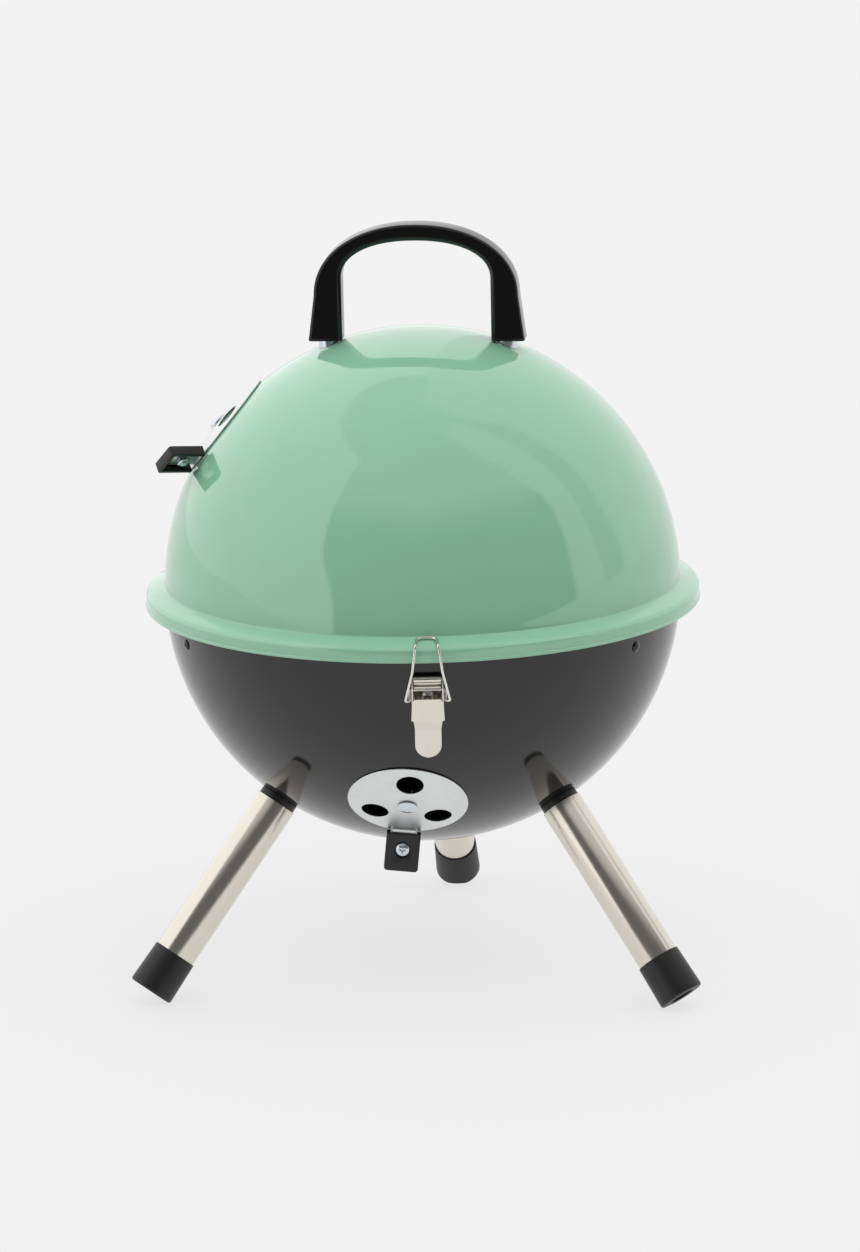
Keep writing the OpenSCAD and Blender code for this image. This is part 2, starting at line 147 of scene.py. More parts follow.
def loft(name, rings, capped=True, closed=False):
    count, verts, faces = len(rings[0]), [p for ring in rings for p in ring], []
    span = len(rings) if closed else len(rings) - 1
    for i in range(span):
        j = (i + 1) % len(rings)
        for k in range(count):
            m = (k + 1) % count
            faces.append((i * count + k, i * count + m, j * count + m, j * count + k))
    if capped and not closed:
        faces.append(tuple(range(count))[::-1])
        faces.append(tuple(range((len(rings) - 1) * count, len(rings) * count)))
    return tidyMesh(newObject(name, verts, faces))


def prism(name, outline, low, high):
    return loft(name, [[(x, y, low) for x, y in outline], [(x, y, high) for x, y in outline]])


def bevelled(obj, width, segments=3, angle=35):
    mod = obj.modifiers.new("edges", "BEVEL")
    mod.width, mod.segments = width, segments
    mod.limit_method, mod.angle_limit = "ANGLE", math.radians(angle)
    mod.use_clamp_overlap = True
    return bake(obj)


def joined(objects):
    first = objects[0]
    work = bmesh.new()
    for obj in objects:
        work.from_mesh(obj.data)
    work.to_mesh(first.data)
    work.free()
    for obj in objects[1:]:
        bpy.data.objects.remove(obj)
    return first


def cutFrom(obj, cutters):
    tool = joined(cutters)
    mod = obj.modifiers.new("cut", "BOOLEAN")
    mod.operation, mod.solver, mod.object = "DIFFERENCE", "EXACT", tool
    bake(obj)
    bpy.data.objects.remove(tool)
    return obj


def circle(cx, cy, r, count, shift=0):
    angles = [2 * math.pi * (i + shift) / count for i in range(count)]
    return [(cx + r * math.cos(a), cy + r * math.sin(a)) for a in angles]


def rod(radius, low, high, segments=32, x=0, y=0):  # a plain cutting tool
    return prism("tool", circle(x, y, radius, segments), low, high)


def block(x0, x1, y0, y1, z0, z1):
    return prism("tool", [(x0, y0), (x1, y0), (x1, y1), (x0, y1)], z0, z1)


def placedBy(obj, matrix):
    obj.data.transform(matrix)
    return obj


def copyOf(obj, matrix):
    twin = bpy.data.objects.new(obj.name, obj.data.copy())
    bpy.context.scene.collection.objects.link(twin)
    twin.data.transform(matrix)
    return twin


def drilled(radius, depth, places, segments=24, x=0, y=0):  # cutting tools through the sheet, one at each place
    return [placedBy(rod(radius, ballR - depth, ballR + 10, segments, x, y), place) for place in places]


def keepOwn(obj):  # remembers a part's own coordinates, so that grain follows it wherever it is placed
    mesh = obj.data
    if "own" in mesh.attributes:
        return obj
    own = mesh.attributes.new("own", "FLOAT_VECTOR", "POINT")
    own.data.foreach_set("vector", [c for v in mesh.vertices for c in v.co])
    return obj


# ---- node trees ----


class Output:  # a node's output, so that sums of outputs read as sums
    def __init__(self, tree, socket):
        self.tree, self.socket = tree, socket

    def maths(self, operation, *others):
        node = self.tree.nodes.new("ShaderNodeMath")
        node.operation = operation
        for target, value in zip(node.inputs, (self, *others)):
            feed(self.tree, target, value)
        return Output(self.tree, node.outputs[0])

    def __add__(self, other):
        return self.maths("ADD", other)

    def __sub__(self, other):
        return self.maths("SUBTRACT", other)

    def __mul__(self, other):
        return self.maths("MULTIPLY", other)

    def stepped(self, low, high, toLow=0.0, toHigh=1.0):  # eases from one value to another
        node = shade(self.tree, "MapRange", interpolation_type="SMOOTHSTEP", Value=self, From_Min=low,
                     From_Max=high, To_Min=toLow, To_Max=toHigh)
        return output(self.tree, node)


def feed(tree, target, value):  # the value is a node, an output, a socket or a plain value
    if isinstance(value, bpy.types.Node):
        value = value.outputs[0]
    if isinstance(value, Output):
        value = value.socket
    if isinstance(value, bpy.types.NodeSocket):
        tree.links.new(value, target)
    else:
        target.default_value = value


def addNode(tree, kind, given):  # a node with its settings made and its inputs fed
    node = tree.nodes.new(kind)
    for key, value in given.items():
        if hasattr(node, key):
            setattr(node, key, value)
        else:
            feed(tree, node.inputs[key.replace("_", " ")], value)
    return node


def geo(tree, kind, **given):
    return addNode(tree, "GeometryNode" + kind, given)


def shade(tree, kind, **given):
    return addNode(tree, "ShaderNode" + kind, given)


def output(tree, node, key=0):
    return Output(tree, node.outputs[key])


def xyz(tree, x=0.0, y=0.0, z=0.0):
    return shade(tree, "CombineXYZ", X=x, Y=y, Z=z)


def scaled(tree, vector, factor):
    return shade(tree, "VectorMath", operation="SCALE", Vector=vector, Scale=factor)


def newGroup(name, kind, inputs, outputs):
    tree = bpy.data.node_groups.new(name, kind)
    for label, socketKind, value in inputs:
        socket = tree.interface.new_socket(label, in_out="INPUT", socket_type="NodeSocket" + socketKind)
        if value is not None:
            socket.default_value = value
    for label, socketKind in outputs:
        tree.interface.new_socket(label, in_out="OUTPUT", socket_type="NodeSocket" + socketKind)
    source = tree.nodes.new("NodeGroupInput")
    return tree, {label: output(tree, source, label) for label, *_ in inputs}


def newTree(name, inputs):
    return newGroup(name, "GeometryNodeTree", [("Geometry", "Geometry", None), *inputs,
                                               ("Material", "Material", None)], [("Geometry", "Geometry")])


def finishTree(tree, given, shape):
    real = geo(tree, "RealizeInstances", Geometry=shape)
    coat = geo(tree, "SetMaterial", Geometry=real, Material=given["Material"])
    feed(tree, tree.nodes.new("NodeGroupOutput").inputs[0], coat)
    return tree


def makeTurnedTree():  # turns a profile, drawn as x = radius and y = -height, round Z
    tree, given = newTree("turned part", [("Segments", "Int", 64)])
    profile = geo(tree, "MeshToCurve", Mesh=given["Geometry"])
    lathe = geo(tree, "CurvePrimitiveCircle", Resolution=given["Segments"], Radius=0.0001)
    wall = geo(tree, "CurveToMesh", Curve=lathe, Profile_Curve=profile)
    return finishTree(tree, given, geo(tree, "MergeByDistance", Geometry=wall, Distance=0.002))


def makeAroundTree():  # repeats a part round the kettle's upright axis
    tree, given = newTree("round the kettle", [("Copies", "Int", 3), ("First turn", "Float", 0.0),
                                               ("Step", "Float", 120.0), ("Centre", "Vector", (0, 0, 0))])
    spots = geo(tree, "Points", Count=given["Copies"])
    back = geo(tree, "Transform", Geometry=given["Geometry"], Translation=scaled(tree, given["Centre"], -1))
    degrees = output(tree, geo(tree, "InputIndex")) * given["Step"] + given["First turn"]
    copies = geo(tree, "InstanceOnPoints", Points=spots, Instance=back,
                 Rotation=xyz(tree, 0.0, 0.0, degrees.maths("RADIANS")))
    real = geo(tree, "RealizeInstances", Geometry=copies)
    return finishTree(tree, given, geo(tree, "Transform", Geometry=real, Translation=given["Centre"]))


def makeWireTree():  # bends a polyline with each corner's own radius and gives it a round section
    tree, given = newTree("bent wire", [("Wire radius", "Float", 0.8), ("Sides", "Int", 16),
                                        ("Bend steps", "Int", 8)])
    path = geo(tree, "MeshToCurve", Mesh=given["Geometry"])
    bend = geo(tree, "InputNamedAttribute", data_type="FLOAT", Name="bend")
    soft = geo(tree, "FilletCurve", mode="POLY", Curve=path, Count=given["Bend steps"], Radius=bend)
    section = geo(tree, "CurvePrimitiveCircle", Resolution=given["Sides"], Radius=given["Wire radius"])
    return finishTree(tree, given, geo(tree, "CurveToMesh", Curve=soft, Profile_Curve=section, Fill_Caps=True))


def makeGrateTree():  # a ring with parallel bars cut to the ring's chords, and two bearers under them
    tree, given = newTree("round grate", [
        ("Ring radius", "Float", 144.5), ("Ring wire", "Float", 2.5), ("Bar wire", "Float", 1.8),
        ("Bars", "Int", 19), ("Pitch", "Float", 14.0), ("Bearer offset", "Float", 52.0),
        ("Bearer drop", "Float", 3.2), ("Centre", "Vector", (0, 0, 0))])
    radius, pitch, away = given["Ring radius"], given["Pitch"], given["Bearer offset"]
    bars = geo(tree, "MeshLine", Count=given["Bars"], Offset=xyz(tree, pitch),
               Start_Location=xyz(tree, (given["Bars"] - 1.0) * -0.5 * pitch))
    bearers = geo(tree, "MeshLine", Count=2, Offset=xyz(tree, 0.0, away * 2.0),
                  Start_Location=xyz(tree, 0.0, away * -1.0, given["Bearer drop"] * -1.0))
    wires = []
    for spots, axis, end, short in ((bars, "X", (0, 1, 0), 0.0), (bearers, "Y", (1, 0, 0), 1.5)):
        place = shade(tree, "SeparateXYZ", Vector=geo(tree, "InputPosition"))
        offCentre = output(tree, place, axis).maths("ABSOLUTE").maths("POWER", 2.0)
        chord = (radius.maths("POWER", 2.0) - offCentre).maths("SQRT") - short
        line = geo(tree, "CurvePrimitiveLine", Start=[-c for c in end], End=end)
        laid = geo(tree, "InstanceOnPoints", Points=spots, Instance=line, Scale=xyz(tree, chord, chord, chord))
        real = geo(tree, "RealizeInstances", Geometry=laid)
        section = geo(tree, "CurvePrimitiveCircle", Resolution=14, Radius=given["Bar wire"])
        wires.append(geo(tree, "CurveToMesh", Curve=real, Profile_Curve=section, Fill_Caps=True))
    ring = geo(tree, "CurvePrimitiveCircle", Resolution=180, Radius=radius)
    section = geo(tree, "CurvePrimitiveCircle", Resolution=16, Radius=given["Ring wire"])
    wires.append(geo(tree, "CurveToMesh", Curve=ring, Profile_Curve=section))
    whole = geo(tree, "JoinGeometry")
    for wire in wires:
        feed(tree, whole.inputs[0], wire)
    return finishTree(tree, given, geo(tree, "Transform", Geometry=whole, Translation=given["Centre"]))


def runTree(obj, tree, material=None, **values):
    mod = obj.modifiers.new(tree.name, "NODES")
    mod.node_group = tree
    for item in tree.interface.items_tree:
        if item.item_type != "SOCKET" or item.in_out != "INPUT":
            continue
        first, *others = item.name.split()
        key = first.lower() + "".join(word.capitalize() for word in others)
        if key in values:
            mod[item.identifier] = values[key]
        if item.name == "Material" and material:
            mod[item.identifier] = material
    return bake(obj)


turnedTree, aroundTree = makeTurnedTree(), makeAroundTree()
wireTree, grateTree = makeWireTree(), makeGrateTree()


def turned(name, profile, material, segments=64, closed=False):
    # profile is (radius, height) from the top down the outside
    edges = [(i, i + 1) for i in range(len(profile) - 1)]
    if closed:
        edges.append((len(profile) - 1, 0))
    obj = newObject(name, [(max(r, 0), -z, 0) for r, z in profile], (), edges)
    runTree(obj, turnedTree, material, segments=segments)
    return tidyMesh(obj)


def around(obj, turns, material):
    return runTree(obj, aroundTree, material, copies=len(turns), firstTurn=float(turns[0]),
                   step=float(turns[1] - turns[0]), centre=tuple(kettleCentre))


def finished(obj, name, body, nodes, material, angle=38):
    keepOwn(obj)
    obj.name = obj.data.name = name
    obj.data.transform(Matrix.Scale(0.001, 4))
    obj.data.materials.clear()
    obj.data.materials.append(material)
    obj.data.shade_smooth()
    obj.data.set_sharp_from_angle(angle=math.radians(angle))
    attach(obj, body)
    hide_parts(*nodes)
    return obj


# ---- materials ----


def noise(tree, vector, scale, detail=2.0, roughness=0.5):
    return output(tree, shade(tree, "TexNoise", Vector=vector, Scale=scale, Detail=detail, Roughness=roughness))


def newLook(name, numbers):
    inputs = [("Vector", "Vector", None), ("Colour", "Color", (1, 1, 1, 1))]
    inputs += [(label, "Float", value) for label, value in numbers.items()]
    return newGroup(name, "ShaderNodeTree", inputs,
                    [("Colour", "Color"), ("Roughness", "Float"), ("Height", "Float")])


def finishLook(group, given, tone, roughness, height):  # the tone is a grey factor on the colour
    out = group.nodes.new("NodeGroupOutput")
    for target, value in zip(out.inputs, (scaled(group, given["Colour"], tone), roughness, height)):
        feed(group, target, value)
    return group


def makeEnamelGroup():  # fired glass: slow sheet waves, fine orange peel, a few specks
    group, given = newLook("fired enamel", {"Wave": 0.05, "Peel": 0.002, "Gloss": 0.06})
    place = given["Vector"]
    wave, peel = noise(group, place, 0.022, 1.0), noise(group, place, 0.55)
    cloud = noise(group, place, 0.035, 3.0)
    speck = noise(group, place, 1.7, 1.0).stepped(0.735, 0.77)
    rough = cloud * 0.03 + (speck * 0.05 + given["Gloss"])
    return finishLook(group, given, cloud * 0.05 + 0.975, rough, wave * given["Wave"] + peel * given["Peel"])


def makeMetalGroup():  # drawn or rolled metal: long streaks along one axis, soft blotches
    group, given = newLook("rolled metal", {"Streak": 0.5, "Gloss": 0.2, "Blotch": 0.1})
    place = given["Vector"]
    streak = noise(group, shade(group, "Mapping", Vector=place, Scale=(1.0, 1.0, 0.02)), 3.2, 3.0, 0.6)
    blotch = noise(group, place, 0.09, 3.0)
    mark = noise(group, place, 0.6).stepped(0.66, 0.74)
    tone = (streak - 0.5) * given["Streak"] + (blotch - 0.5) * given["Blotch"]
    rough = tone * 0.35 + given["Gloss"] + mark * 0.04
    return finishLook(group, given, tone * 0.4 + 1.0, rough, streak * 0.004)


def makeMouldedGroup():  # moulded plastic: fine erosion grain and slow sink marks
    group, given = newLook("moulded plastic", {"Grain": 0.01, "Gloss": 0.3})
    place = given["Vector"]
    grain, sink = noise(group, place, 3.5, 3.0, 0.65), noise(group, place, 0.07, 1.0)
    scuff = noise(group, place, 0.35, 4.0, 0.7).stepped(0.6, 0.72)
    rough = grain * 0.05 + (scuff * 0.06 + given["Gloss"])
    return finishLook(group, given, scuff * 0.08 + 0.98, rough, grain * given["Grain"] + sink * 0.03)


enamelGroup, metalGroup, mouldedGroup = makeEnamelGroup(), makeMetalGroup(), makeMouldedGroup()


def newMaterial(name, group, colour, numbers, shader, own=False, tilt=0):
    # own: the grain follows each part's own coordinates, tilted about X
    mat = bpy.data.materials.new(name)
    mat.use_nodes = True
    tree = mat.node_tree
    if own:
        place, scale = shade(tree, "Attribute", attribute_name="own").outputs["Vector"], 1.0
    else:
        place, scale = shade(tree, "TexCoord").outputs["Object"], 1000.0
    mapping = shade(tree, "Mapping", Vector=place, Rotation=(math.radians(tilt), 0, 0),
                    Scale=(scale, scale, scale))
    look = shade(tree, "Group", node_tree=group, Vector=mapping, Colour=(*colour, 1), **numbers)
    bump = shade(tree, "Bump", Strength=1.0, Distance=0.001, Height=look.outputs["Height"])
    fed = {"Base Color": look.outputs["Colour"], "Roughness": look.outputs["Roughness"], "Normal": bump}
    for key, value in {**shader, **fed}.items():
        feed(tree, tree.nodes["Principled BSDF"].inputs[key], value)
    return mat


def enamel(name, colour, wave, gloss, ior, coat, coatRoughness, coatIor):
    return newMaterial(name, enamelGroup, colour, {"Wave": wave, "Gloss": gloss},
                       {"IOR": ior, "Coat Weight": coat, "Coat Roughness": coatRoughness, "Coat IOR": coatIor})


def plastic(name, colour, grain, gloss, ior, own=True):
    return newMaterial(name, mouldedGroup, colour, {"Grain": grain, "Gloss": gloss}, {"IOR": ior}, own)


def metal(name, colour, streak, gloss, own=True, tilt=0, **more):
    return newMaterial(name, metalGroup, colour, {"Streak": streak, "Gloss": gloss, **more}, {"Metallic": 1.0},
                       own, tilt)


mintEnamel = enamel("mint enamel", (0.25, 0.505, 0.342), 0.12, 0.045, 1.62, 0.35, 0.03, 1.6)
blackEnamel = enamel("black enamel", (0.010, 0.0095, 0.009), 0.10, 0.07, 1.5, 0.15, 0.05, 1.5)
handleBlack = plastic("handle plastic", (0.0035, 0.0032, 0.003), 0.0006, 0.13, 1.42, own=False)
capBlack = plastic("cap plastic", (0.008, 0.0075, 0.0075), 0.006, 0.42, 1.48)
tabBlack = plastic("tab plastic", (0.008, 0.0075, 0.0075), 0.004, 0.36, 1.48)
legSteel = metal("leg steel", (0.74, 0.69, 0.62), 0.35, 0.2)
zincSheet = metal("zinc sheet", (0.74, 0.765, 0.76), 0.25, 0.39, tilt=90, Blotch=0.35)
zincHead = metal("zinc screws", (0.66, 0.71, 0.76), 0.1, 0.2)
nickelSheet = metal("nickel sheet", (0.77, 0.735, 0.66), 0.3, 0.2, tilt=90)
nickelWire = metal("nickel wire", (0.80, 0.775, 0.74), 0.15, 0.16)
boltSteel = metal("bolt steel", (0.62, 0.62, 0.61), 0.2, 0.27)
grateSteel = metal("grate chrome", (0.72, 0.72, 0.71), 0.2, 0.19, own=False)
bracketSteel = metal("bracket steel", (0.60, 0.60, 0.59), 0.3, 0.3, own=False)
print("materials and node trees made")

# ---- lid ----

lidShape = {"flangeTop": 3.4, "skirt": 166.0, "hemHeight": -8.4, "hem": 1.0, "sides": 240, "arcSteps": 110,
            "ventTurn": 59, "ventLatitude": 39.1}


def sideR(radius, z):
    return math.sqrt(radius * radius - z * z)


def lidProfile(s):
    top = math.degrees(math.asin((s["flangeTop"] + 2.6) / ballR))
    outside = arc(0, 0, ballR, 90, top, s["arcSteps"])
    edge = s["skirt"]
    outside += rounded([(*outside.pop(), 0), (sideR(ballR, s["flangeTop"]) + 0.05, s["flangeTop"], 1.6),
                        (edge - 1.7, 0.05, 1.4), (edge, -1.9, 2.2), (edge, s["hemHeight"] + 1.5, 0)], 7)
    hem = arc(edge - 0.4, s["hemHeight"], s["hem"], 66, -246, 22)
    innerEdge = edge - 1.2
    inside = rounded([(innerEdge, s["hemHeight"] + 1.4, 0), (innerEdge, -2.3, 1.4), (edge - 2.6, -1.1, 1.0),
                      (sideR(innerR, 2.3) + 0.6, 2.3, 1.2), (sideR(innerR, 5.2), 5.2, 0)], 5)
    top = math.degrees(math.asin(5.2 / innerR))
    return outside + hem + inside + arc(0, 0, innerR, top, 90, s["arcSteps"])[1:]


def ventSpots(at, turns):
    return [(at * math.cos(math.radians(a)), at * math.sin(math.radians(a))) for a in turns]


def ventCutters(place):
    tools = []
    for x, y in ventSpots(ventHoles["at"], ventHoles["turns"]):
        tools += drilled(ventHoles["radius"], 15, [place], 48, x, y)
    return tools + drilled(ventHoles["rivet"], 15, [place], 32)


lidVent = ballPlace(-90, lidShape["ventLatitude"])
lidVentTurned = ballPlace(-90, lidShape["ventLatitude"], lidShape["ventTurn"])
lid = placedBy(turned("lid", lidProfile(lidShape), mintEnamel, lidShape["sides"]), kettle)
screwHoles = [placedBy(rod(2.7, 130, 160, 32, x), kettle) for x in handleScrewXs]
cutFrom(lid, ventCutters(lidVentTurned) + screwHoles)
finished(lid, "lidShell", "lid", ["lid_shell"], mintEnamel, 30)

# ---- bowl ----

bowlShape = {"bead": 2.8, "beadAt": 156.9, "beadZ": -2.0, "sides": 240, "arcSteps": 110, "ventTurn": -8.5,
             "ventLatitude": -44.3, "legHole": 3.3, "bracketHole": 2.1, "latchHole": 1.8}


def bowlProfile(s):
    low = math.degrees(math.asin((s["beadZ"] - 2.9) / ballR))
    outside = arc(0, 0, ballR, -90, low, s["arcSteps"])
    bead = arc(s["beadAt"], s["beadZ"], s["bead"], -126, 178, 34)
    joint = rounded([(*outside.pop(), 0), (sideR(ballR, 4.1), -4.15, 0.7), (*bead[0], 0)], 4)
    inside = arc(0, 0, innerR, math.degrees(math.asin((s["beadZ"] - 0.5) / innerR)), -90, s["arcSteps"])
    return outside + joint + bead[1:] + inside


bowlVent = ballPlace(0, bowlShape["ventLatitude"])
bowlVentTurned = ballPlace(0, bowlShape["ventLatitude"], bowlShape["ventTurn"])
bowl = placedBy(turned("bowl", bowlProfile(bowlShape), blackEnamel, bowlShape["sides"]), kettle)
holes = ventCutters(bowlVentTurned)
holes += drilled(bowlShape["legHole"], 10, [legPlace(a) for a in legTurns])
holes += drilled(bowlShape["bracketHole"], 10, [ballPlace(a, bracketLatitude) for a in legTurns])
for a in latchTurns:
    for y in latchScrewYs:
        holes += drilled(bowlShape["latchHole"], 10, [ballPlace(a, latchLatitude)], y=y)
cutFrom(bowl, holes)
finished(bowl, "bowlShell", "bowl", ["bowl_shell"], blackEnamel, 30)
print("lid and bowl turned")

# ---- handle ----

handleShape = {"footHalf": 64.6, "half": 61.0, "low": 27.0, "high": 70.0, "round": 2.12, "gripHalf": 44.5,
               "gripLow": 37.7, "gripHigh": 60.2, "gripRound": 2.2, "deep": 18.0, "outerEdge": 1.3,
               "innerEdge": 2.3, "base": 148.8, "stations": 40}


def shoulder(half, low, high, roundness, steps=60):  # a quarter of a squarish ellipse
    turns = [math.radians(90 * i / steps) for i in range(steps + 1)]
    return [(half * math.cos(t) ** (2 / roundness), low + (high - low) * math.sin(t) ** (2 / roundness))
            for t in turns]


def evenly(points, count):  # the same line with its points at even steps
    lengths = [0.0]
    for a, b in zip(points, points[1:]):
        lengths.append(lengths[-1] + math.dist(a, b))
    out, k = [], 0
    for i in range(count + 1):
        want = lengths[-1] * i / count
        while k < len(points) - 2 and lengths[k + 1] < want:
            k += 1
        t = (want - lengths[k]) / max(lengths[k + 1] - lengths[k], 1e-9)
        out.append(tuple(a + (b - a) * t for a, b in zip(points[k], points[k + 1])))
    return out


def handleRing(inner, outer, s, inset):
    wide, deep = math.dist(inner, outer), s["deep"] / 2
    dx, dz = (outer[0] - inner[0]) / wide, (outer[1] - inner[1]) / wide
    a, b = s["innerEdge"], s["outerEdge"]
    half = [(inset, -deep + a + 0.3, 0.9), (a + inset, -deep + inset, 0.9),
            (wide - b - inset, -deep + inset, 1.6), (wide - inset, -deep + b, 1.6)]
    section = rounded(half + [(u, -v, r) for u, v, r in reversed(half)], 4, closed=True)
    return [(inner[0] + dx * u, v, inner[1] + dz * u) for u, v in section]


def makeHandle(s):
    outer = evenly([(s["footHalf"], 0)] + shoulder(s["half"], s["low"], s["high"], s["round"]), s["stations"])
    grip = shoulder(s["gripHalf"], s["gripLow"], s["gripHigh"], s["gripRound"])
    inner = evenly([(s["gripHalf"], 0)] + grip, s["stations"])
    rings = []
    for rise, inset in ((0.0, 0.7), (0.12, 0.32), (0.36, 0.09), (0.8, 0.0)):  # the foot's rounded edge
        rings.append(handleRing((inner[0][0], rise), (outer[0][0], rise), s, inset))
    rings += [handleRing(a, b, s, 0) for a, b in list(zip(inner, outer))[1:]]
    rings += [[(-x, y, z) for x, y, z in ring] for ring in reversed(rings[:-1])]
    arch = loft("handle", rings)
    return cutFrom(arch, [rod(2.5, -1, 18, 24, x) for x in handleScrewXs])


handle = placedBy(keepOwn(makeHandle(handleShape)), kettle @ move(0, 0, handleShape["base"]))
finished(handle, "handleArch", "lid", ["handle"], handleBlack, 60)

spacerShape = {"radius": 6.25, "bore": 2.7, "edge": 0.5, "base": 140.0, "top": 148.75}


def makeSpacers(s):  # two rings, their lower ends hollowed to sit on the lid
    rings = []
    for x in handleScrewXs:
        profile = rounded([(s["bore"], s["top"], 0.1), (s["radius"], s["top"], s["edge"]),
                           (s["radius"], s["base"], s["edge"]), (s["bore"], s["base"], 0.1)], 4, closed=True)
        ring = keepOwn(turned("spacer", profile, zincHead, 64, closed=True))
        rings.append(placedBy(ring, kettle @ move(x, 0, 0)))
    levels = [[(x, y, z) for x, y in circle(0, 0, max(0.01, r), 160)]
              for r, z in arc(0, 0, ballR + 0.05, -88, 89.9, 120)]
    return cutFrom(joined(rings), [placedBy(loft("tool", levels), kettle)])


finished(makeSpacers(spacerShape), "handleSpacers", "lid", ["handle_spacers"], zincHead)


def crossHead(radius, height, shank, length):  # pan head, underside at z = 0, with a cross recess
    profile = [(0, height, 0), (radius * 0.55, height * 0.96, radius * 0.6),
               (radius, height * 0.42, radius * 0.32), (radius, 0.0, 0.18), (shank, 0.0, 0.1),
               (shank, -length, 0.3), (0, -length, 0)]
    head = turned("head", rounded(profile, 6), zincHead, 40)

    def oblong(long, wide, z):
        return [(-long, -wide, z), (long, -wide, z), (long, wide, z), (-long, wide, z)]

    for angle in (0, 90):
        slot = loft("tool", [oblong(radius * 0.16, radius * 0.06, height * 0.3),
                             oblong(radius * 0.56, radius * 0.12, height + 0.1)])
        cutFrom(head, [placedBy(slot, turn("Z", angle))])
    return keepOwn(head)


handleScrews = [placedBy(crossHead(4.5, 2.6, 2.3, 22), kettle @ move(x, 0, 141.9) @ turn("X", 180))
                for x in handleScrewXs]
finished(joined(handleScrews), "handleScrews", "lid", ["handle_screws"], boltSteel)
print("handle made")

# ---- vents ----

ventShape = {"disc": 35.6, "thick": 1.0, "gap": 0.3, "rivetHole": 2.65, "rim": 0.42,
             "rimSteps": (0.05, 0.13, 0.25), "guide": 1.0, "grid": 2.4, "gridClear": 1.9, "tongueY": 33.6,
             "tongueHalf": 7.0, "tongueLong": 19.0, "tongueBend": 42}


def pressedDisc(name, s):  # perforated round sheet with rolled edges, pressed to the ball
    outerBall = ballR + s["gap"] + s["thick"]
    loops = [(0.0, 0.0, s["disc"], 1, 120)]  # centre, radius, which side the sheet is on, points
    loops += [(x, y, ventHoles["radius"], -1, 52) for x, y in ventSpots(ventHoles["at"], ventHoles["turns"])]
    loops.append((0.0, 0.0, s["rivetHole"], -1, 24))
    points, edges = [], []
    for cx, cy, r, side, count in loops:
        for offset in (0.0, *s["rimSteps"], s["rim"]):
            first = len(points)
            points += circle(cx, cy, r - side * offset, count)
            edges += [(first + i, first + (i + 1) % count) for i in range(count)]
        points += circle(cx, cy, r - side * s["guide"], count, 0.5)

    def edgeDistance(x, y):
        return min((r - math.hypot(x - cx, y - cy)) * side for cx, cy, r, side, _ in loops)

    for row in range(-16, 17):
        for column in range(-16, 17):
            x, y = (column + (row % 2) * 0.5) * s["grid"], row * s["grid"] * 0.866
            if edgeDistance(x, y) > s["gridClear"]:
                points.append((x, y))
    made = geometry.delaunay_2d_cdt([Vector(p) for p in points], edges, [], 0, 1e-5)
    flat = made[0]
    keep = [face for face in made[2] if edgeDistance(sum(flat[i].x for i in face) / 3,
                                                     sum(flat[i].y for i in face) / 3) > 0]
    verts, count = [], len(flat)
    for side in (1, -1):
        for p in flat:
            near = max(0.0, edgeDistance(p.x, p.y))
            drop = 0.0
            if near < s["rim"]:
                drop = s["rim"] - math.sqrt(s["rim"] ** 2 - (s["rim"] - near) ** 2)
            radius = outerBall - drop if side > 0 else outerBall - s["thick"] + drop
            along = math.hypot(p.x, p.y)
            angle = math.asin(min(1.0, along / outerBall))
            scale = radius * math.sin(angle) / along if along > 1e-6 else 0
            verts.append((p.x * scale, p.y * scale, radius * math.cos(angle)))
    faces = [tuple(f) for f in keep] + [tuple(i + count for i in reversed(f)) for f in keep]
    pairs = dict.fromkeys(pair for f in keep for pair in zip(f, f[1:] + f[:1]))
    faces += [(b, a, a + count, b + count) for a, b in pairs if (b, a) not in pairs]
    return tidyMesh(newObject(name, verts, faces), 0.0005)


def bentStrip(name, path, halves, thick, edge):  # sheet strip along a (y, z) path, x across
    rings = []
    for i, (y, z) in enumerate(path):
        y0, z0 = path[max(i - 1, 0)]
        y1, z1 = path[min(i + 1, len(path) - 1)]
        long = math.hypot(y1 - y0, z1 - z0)
        ny, nz = -(z1 - z0) / long, (y1 - y0) / long
        w, t = max(halves[i], 0.15), thick / 2
        e = min(edge, w * 0.45, t * 0.95)
        section = rounded([(-w, -t, e), (w, -t, e), (w, t, e), (-w, t, e)], 3, closed=True)
        rings.append([(x, y + ny * n, z + nz * n) for x, n in section])
    return loft(name, rings)


tabShape = {"half": 10.1, "root": -2.0, "long": 23.6, "thick": 6.4, "top": 1.6, "corner": 2.0, "wall": 2.2,
            "edge": 0.55, "screwY": -12.0, "bore": 2.1, "well": 5.0, "screw": (4.1, 2.3, 1.9, 6.0),
            "screwZ": 0.72, "nut": (7, 3.1, 1.95), "nutZ": -4.4, "clear": 0.4}


def makeTongue(s):  # grows out of the disc's edge and bends away from the ball
    bend = math.radians(s["tongueBend"])
    startZ = sideR(ballR + s["gap"] + s["thick"], s["tongueY"]) - 0.62
    end = (-s["tongueY"] - s["tongueLong"] * math.cos(bend), startZ + s["tongueLong"] * math.sin(bend), 0)
    slope = s["tongueY"] / (ballR + s["gap"])
    path = rounded([(-s["tongueY"] + 2.4, startZ + 2.4 * slope, 0), (-s["tongueY"], startZ, 2.0), end], 8)
    tongue = bentStrip("tongue", path, [s["tongueHalf"]] * len(path), 1.15, 0.3)
    return cutFrom(tongue, [placedBy(rod(tabShape["bore"], -5, 5, 24, 0, tabShape["screwY"]), tonguePlace(s))])


def tonguePlace(s):
    z = sideR(ballR + s["gap"] + s["thick"], s["tongueY"])
    return move(0, -s["tongueY"], z) @ turn("X", -s["tongueBend"])


